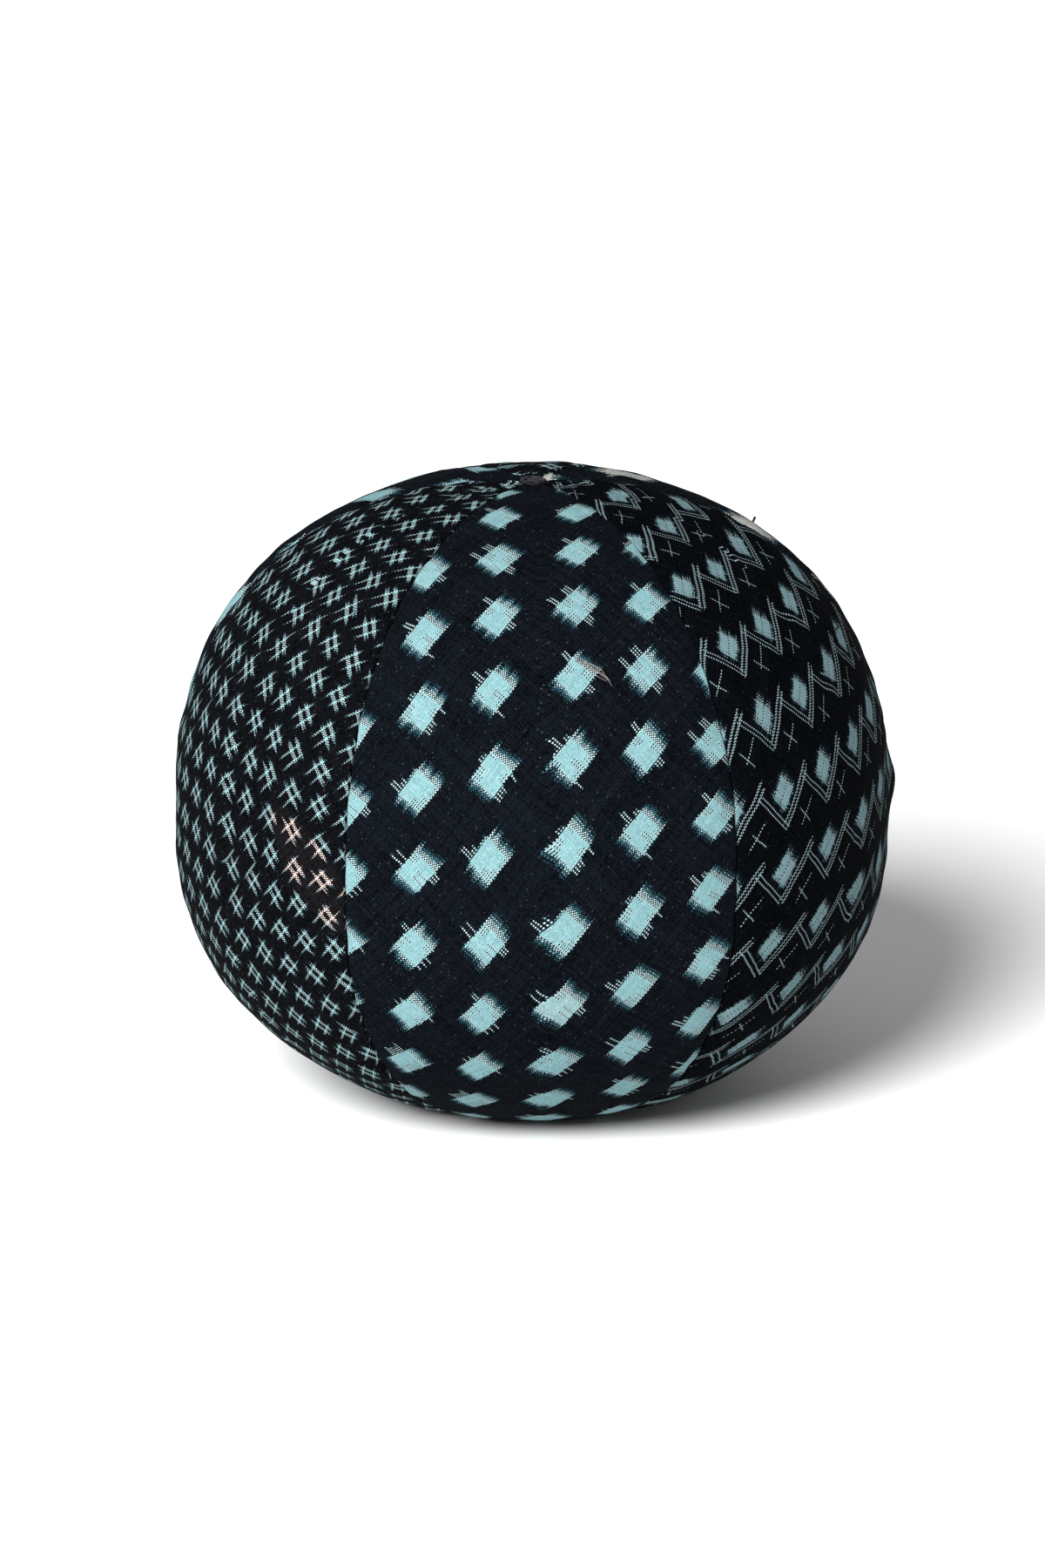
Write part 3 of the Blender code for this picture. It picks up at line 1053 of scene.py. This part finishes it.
# Cut ends of the sewing thread, left standing out of the cover near the right seam.
ENDS = ((0.0246, 100.4), (0.0379, 77.3))
END_LENGTH = 0.0005
cut_ends = []
for run, degrees in ENDS:
    foot = cover_point(run, math.radians(degrees), 0.004, 0.1, THREAD_RADIUS)
    outward = side_frame(run, math.radians(degrees))[1]
    end = []
    for step in range(5):
        bend = Vector((0, 0, 1e-5 * step**2))
        end.append(foot + outward * END_LENGTH * step / 4 + bend)
    cut_ends.append(end)
strands("cut_thread_ends", cut_ends, THREAD_RADIUS, thread_material)

# ---------------------------------------------------------------------------------------------
# A wisp of lint
# Undyed cotton fibres, carded loose, that cling to the front of the cover.

LINT_PALE = "8E8581"
LINT_SHADE = "554E4C"
FIBRE_RADIUS = 0.00003
WISP_START = (0.0348, 8.1)
WISP_END = (0.0378, 14.9)
FIBRES = 7


def cotton_lint():
    """Raw cotton fibre: pale and matt, with flat twisted lengths that catch the light unevenly, painted into
    its colour as uneven highlight and shade.
    """
    material, tree, shader = blank_material("cotton_lint")
    place = add(tree, "ShaderNodeTexCoord").outputs["Object"]
    painted_glint = add(tree, "ShaderNodeTexNoise", None, {"Vector": place, "Scale": 4000.0, "Detail": 2.0})
    # painted highlight and shade: noise mixes the fibre between a shaded and a lit tone
    colour = add(
        tree,
        "ShaderNodeMix",
        {"data_type": "RGBA"},
        {0: painted_glint, 6: linear(LINT_SHADE), 7: linear(LINT_PALE)},
    )
    tree.links.new(colour.outputs[2], shader.inputs["Base Color"])
    shader.inputs["Roughness"].default_value = 0.9
    shader.inputs["Specular IOR Level"].default_value = 0.05
    return material


wisp = []
for fibre in range(FIBRES):
    bow = (fibre - FIBRES / 2) / FIBRES
    length = 0.45 + 0.55 * abs(math.sin(2.4 * fibre + 0.6))
    begin = (1 - length) * abs(math.sin(1.3 * fibre))
    route = []
    for step in range(25):
        share = begin + length * step / 24
        run = WISP_START[0] + (WISP_END[0] - WISP_START[0]) * share**1.6
        run += 0.0012 * bow * math.sin(math.pi * share) + 0.0016 * bow * share**3
        turn = WISP_START[1] + (WISP_END[1] - WISP_START[1]) * share
        turn += 0.5 * math.sin(9 * share + 2 * fibre) + 1.5 * bow * share
        route.append(cover_point(run, math.radians(turn), 0.02, 0.6, -FIBRE_RADIUS * (1 + fibre % 3)))
    wisp.append(route)
strands("lint_wisp", wisp, FIBRE_RADIUS, cotton_lint())

# ---------------------------------------------------------------------------------------------
# Stage
# A flat sheet of matt white paper, a large soft lamp at the upper left front, and even fill from all round.

PAPER = "F7F7F7"


def stage_floor():
    """A sheet of paper far larger than the view."""
    sheet = bmesh.new()
    bmesh.ops.create_grid(sheet, x_segments=1, y_segments=1, size=6.0)
    mesh = bpy.data.meshes.new("paper_floor")
    sheet.to_mesh(mesh)
    sheet.free()
    floor = bpy.data.objects.new("paper_floor", mesh)
    bpy.context.scene.collection.objects.link(floor)
    material, tree, shader = blank_material("matt_white_paper")
    place = add(tree, "ShaderNodeTexCoord").outputs["Object"]
    fibre = add(
        tree, "ShaderNodeTexNoise", None, {"Vector": place, "Scale": 900.0, "Detail": 3.0}
    )
    bump = add(tree, "ShaderNodeBump", None, {"Height": fibre, "Distance": 0.00002, "Strength": 0.3})
    tree.links.new(bump.outputs["Normal"], shader.inputs["Normal"])
    shader.inputs["Base Color"].default_value = linear(PAPER)
    shader.inputs["Roughness"].default_value = 0.95
    shader.inputs["Specular IOR Level"].default_value = 0.1
    give(floor, material)


stage_floor()

LAMP_TURN = math.radians(-24)
LAMP_RISE = math.radians(32)
LAMP_SPREAD = math.radians(26)  # how wide the lamp looks from the ball
LAMP_STRENGTH = 6.6
FILL_STRENGTH = 0.33

lamp_data = bpy.data.lights.new("soft_lamp", "SUN")
lamp_data.angle = LAMP_SPREAD
lamp_data.energy = LAMP_STRENGTH
lamp = bpy.data.objects.new("soft_lamp", lamp_data)
bpy.context.scene.collection.objects.link(lamp)
toward = Vector(
    (
        math.sin(LAMP_TURN) * math.cos(LAMP_RISE),
        -math.cos(LAMP_TURN) * math.cos(LAMP_RISE),
        math.sin(LAMP_RISE),
    )
)
lamp.location = toward
lamp.rotation_euler = (-toward).to_track_quat("-Z", "Y").to_euler()

world = bpy.data.worlds.new("studio")
world.use_nodes = True
world.node_tree.nodes["Background"].inputs["Color"].default_value = (1.0, 1.0, 1.0, 1.0)
world.node_tree.nodes["Background"].inputs["Strength"].default_value = FILL_STRENGTH
bpy.context.scene.world = world
bpy.context.scene.view_settings.view_transform = "Standard"

# ---------------------------------------------------------------------------------------------
# Camera
# A long lens a metre away, about 15 degrees above level, with the ball a little right of the middle.

CAMERA_DISTANCE = 1.0
CAMERA_RISE = math.radians(14.6)
VIEW_HEIGHT = 0.1735  # of the frame, at the ball
SENSOR = 36.0
BALL_RIGHT = 0.00116
AIM_HEIGHT = 0.035

camera_data = bpy.data.cameras.new("camera")
camera_data.sensor_fit = "VERTICAL"
camera_data.sensor_height = SENSOR
camera_data.lens = SENSOR * CAMERA_DISTANCE / VIEW_HEIGHT
camera = bpy.data.objects.new("camera", camera_data)
bpy.context.scene.collection.objects.link(camera)
back = Vector((0.0, -math.cos(CAMERA_RISE), math.sin(CAMERA_RISE)))
target = Vector((-BALL_RIGHT, 0.0, AIM_HEIGHT))
camera.location = target + back * CAMERA_DISTANCE
camera.rotation_euler = (-back).to_track_quat("-Z", "Y").to_euler()
bpy.context.scene.camera = camera
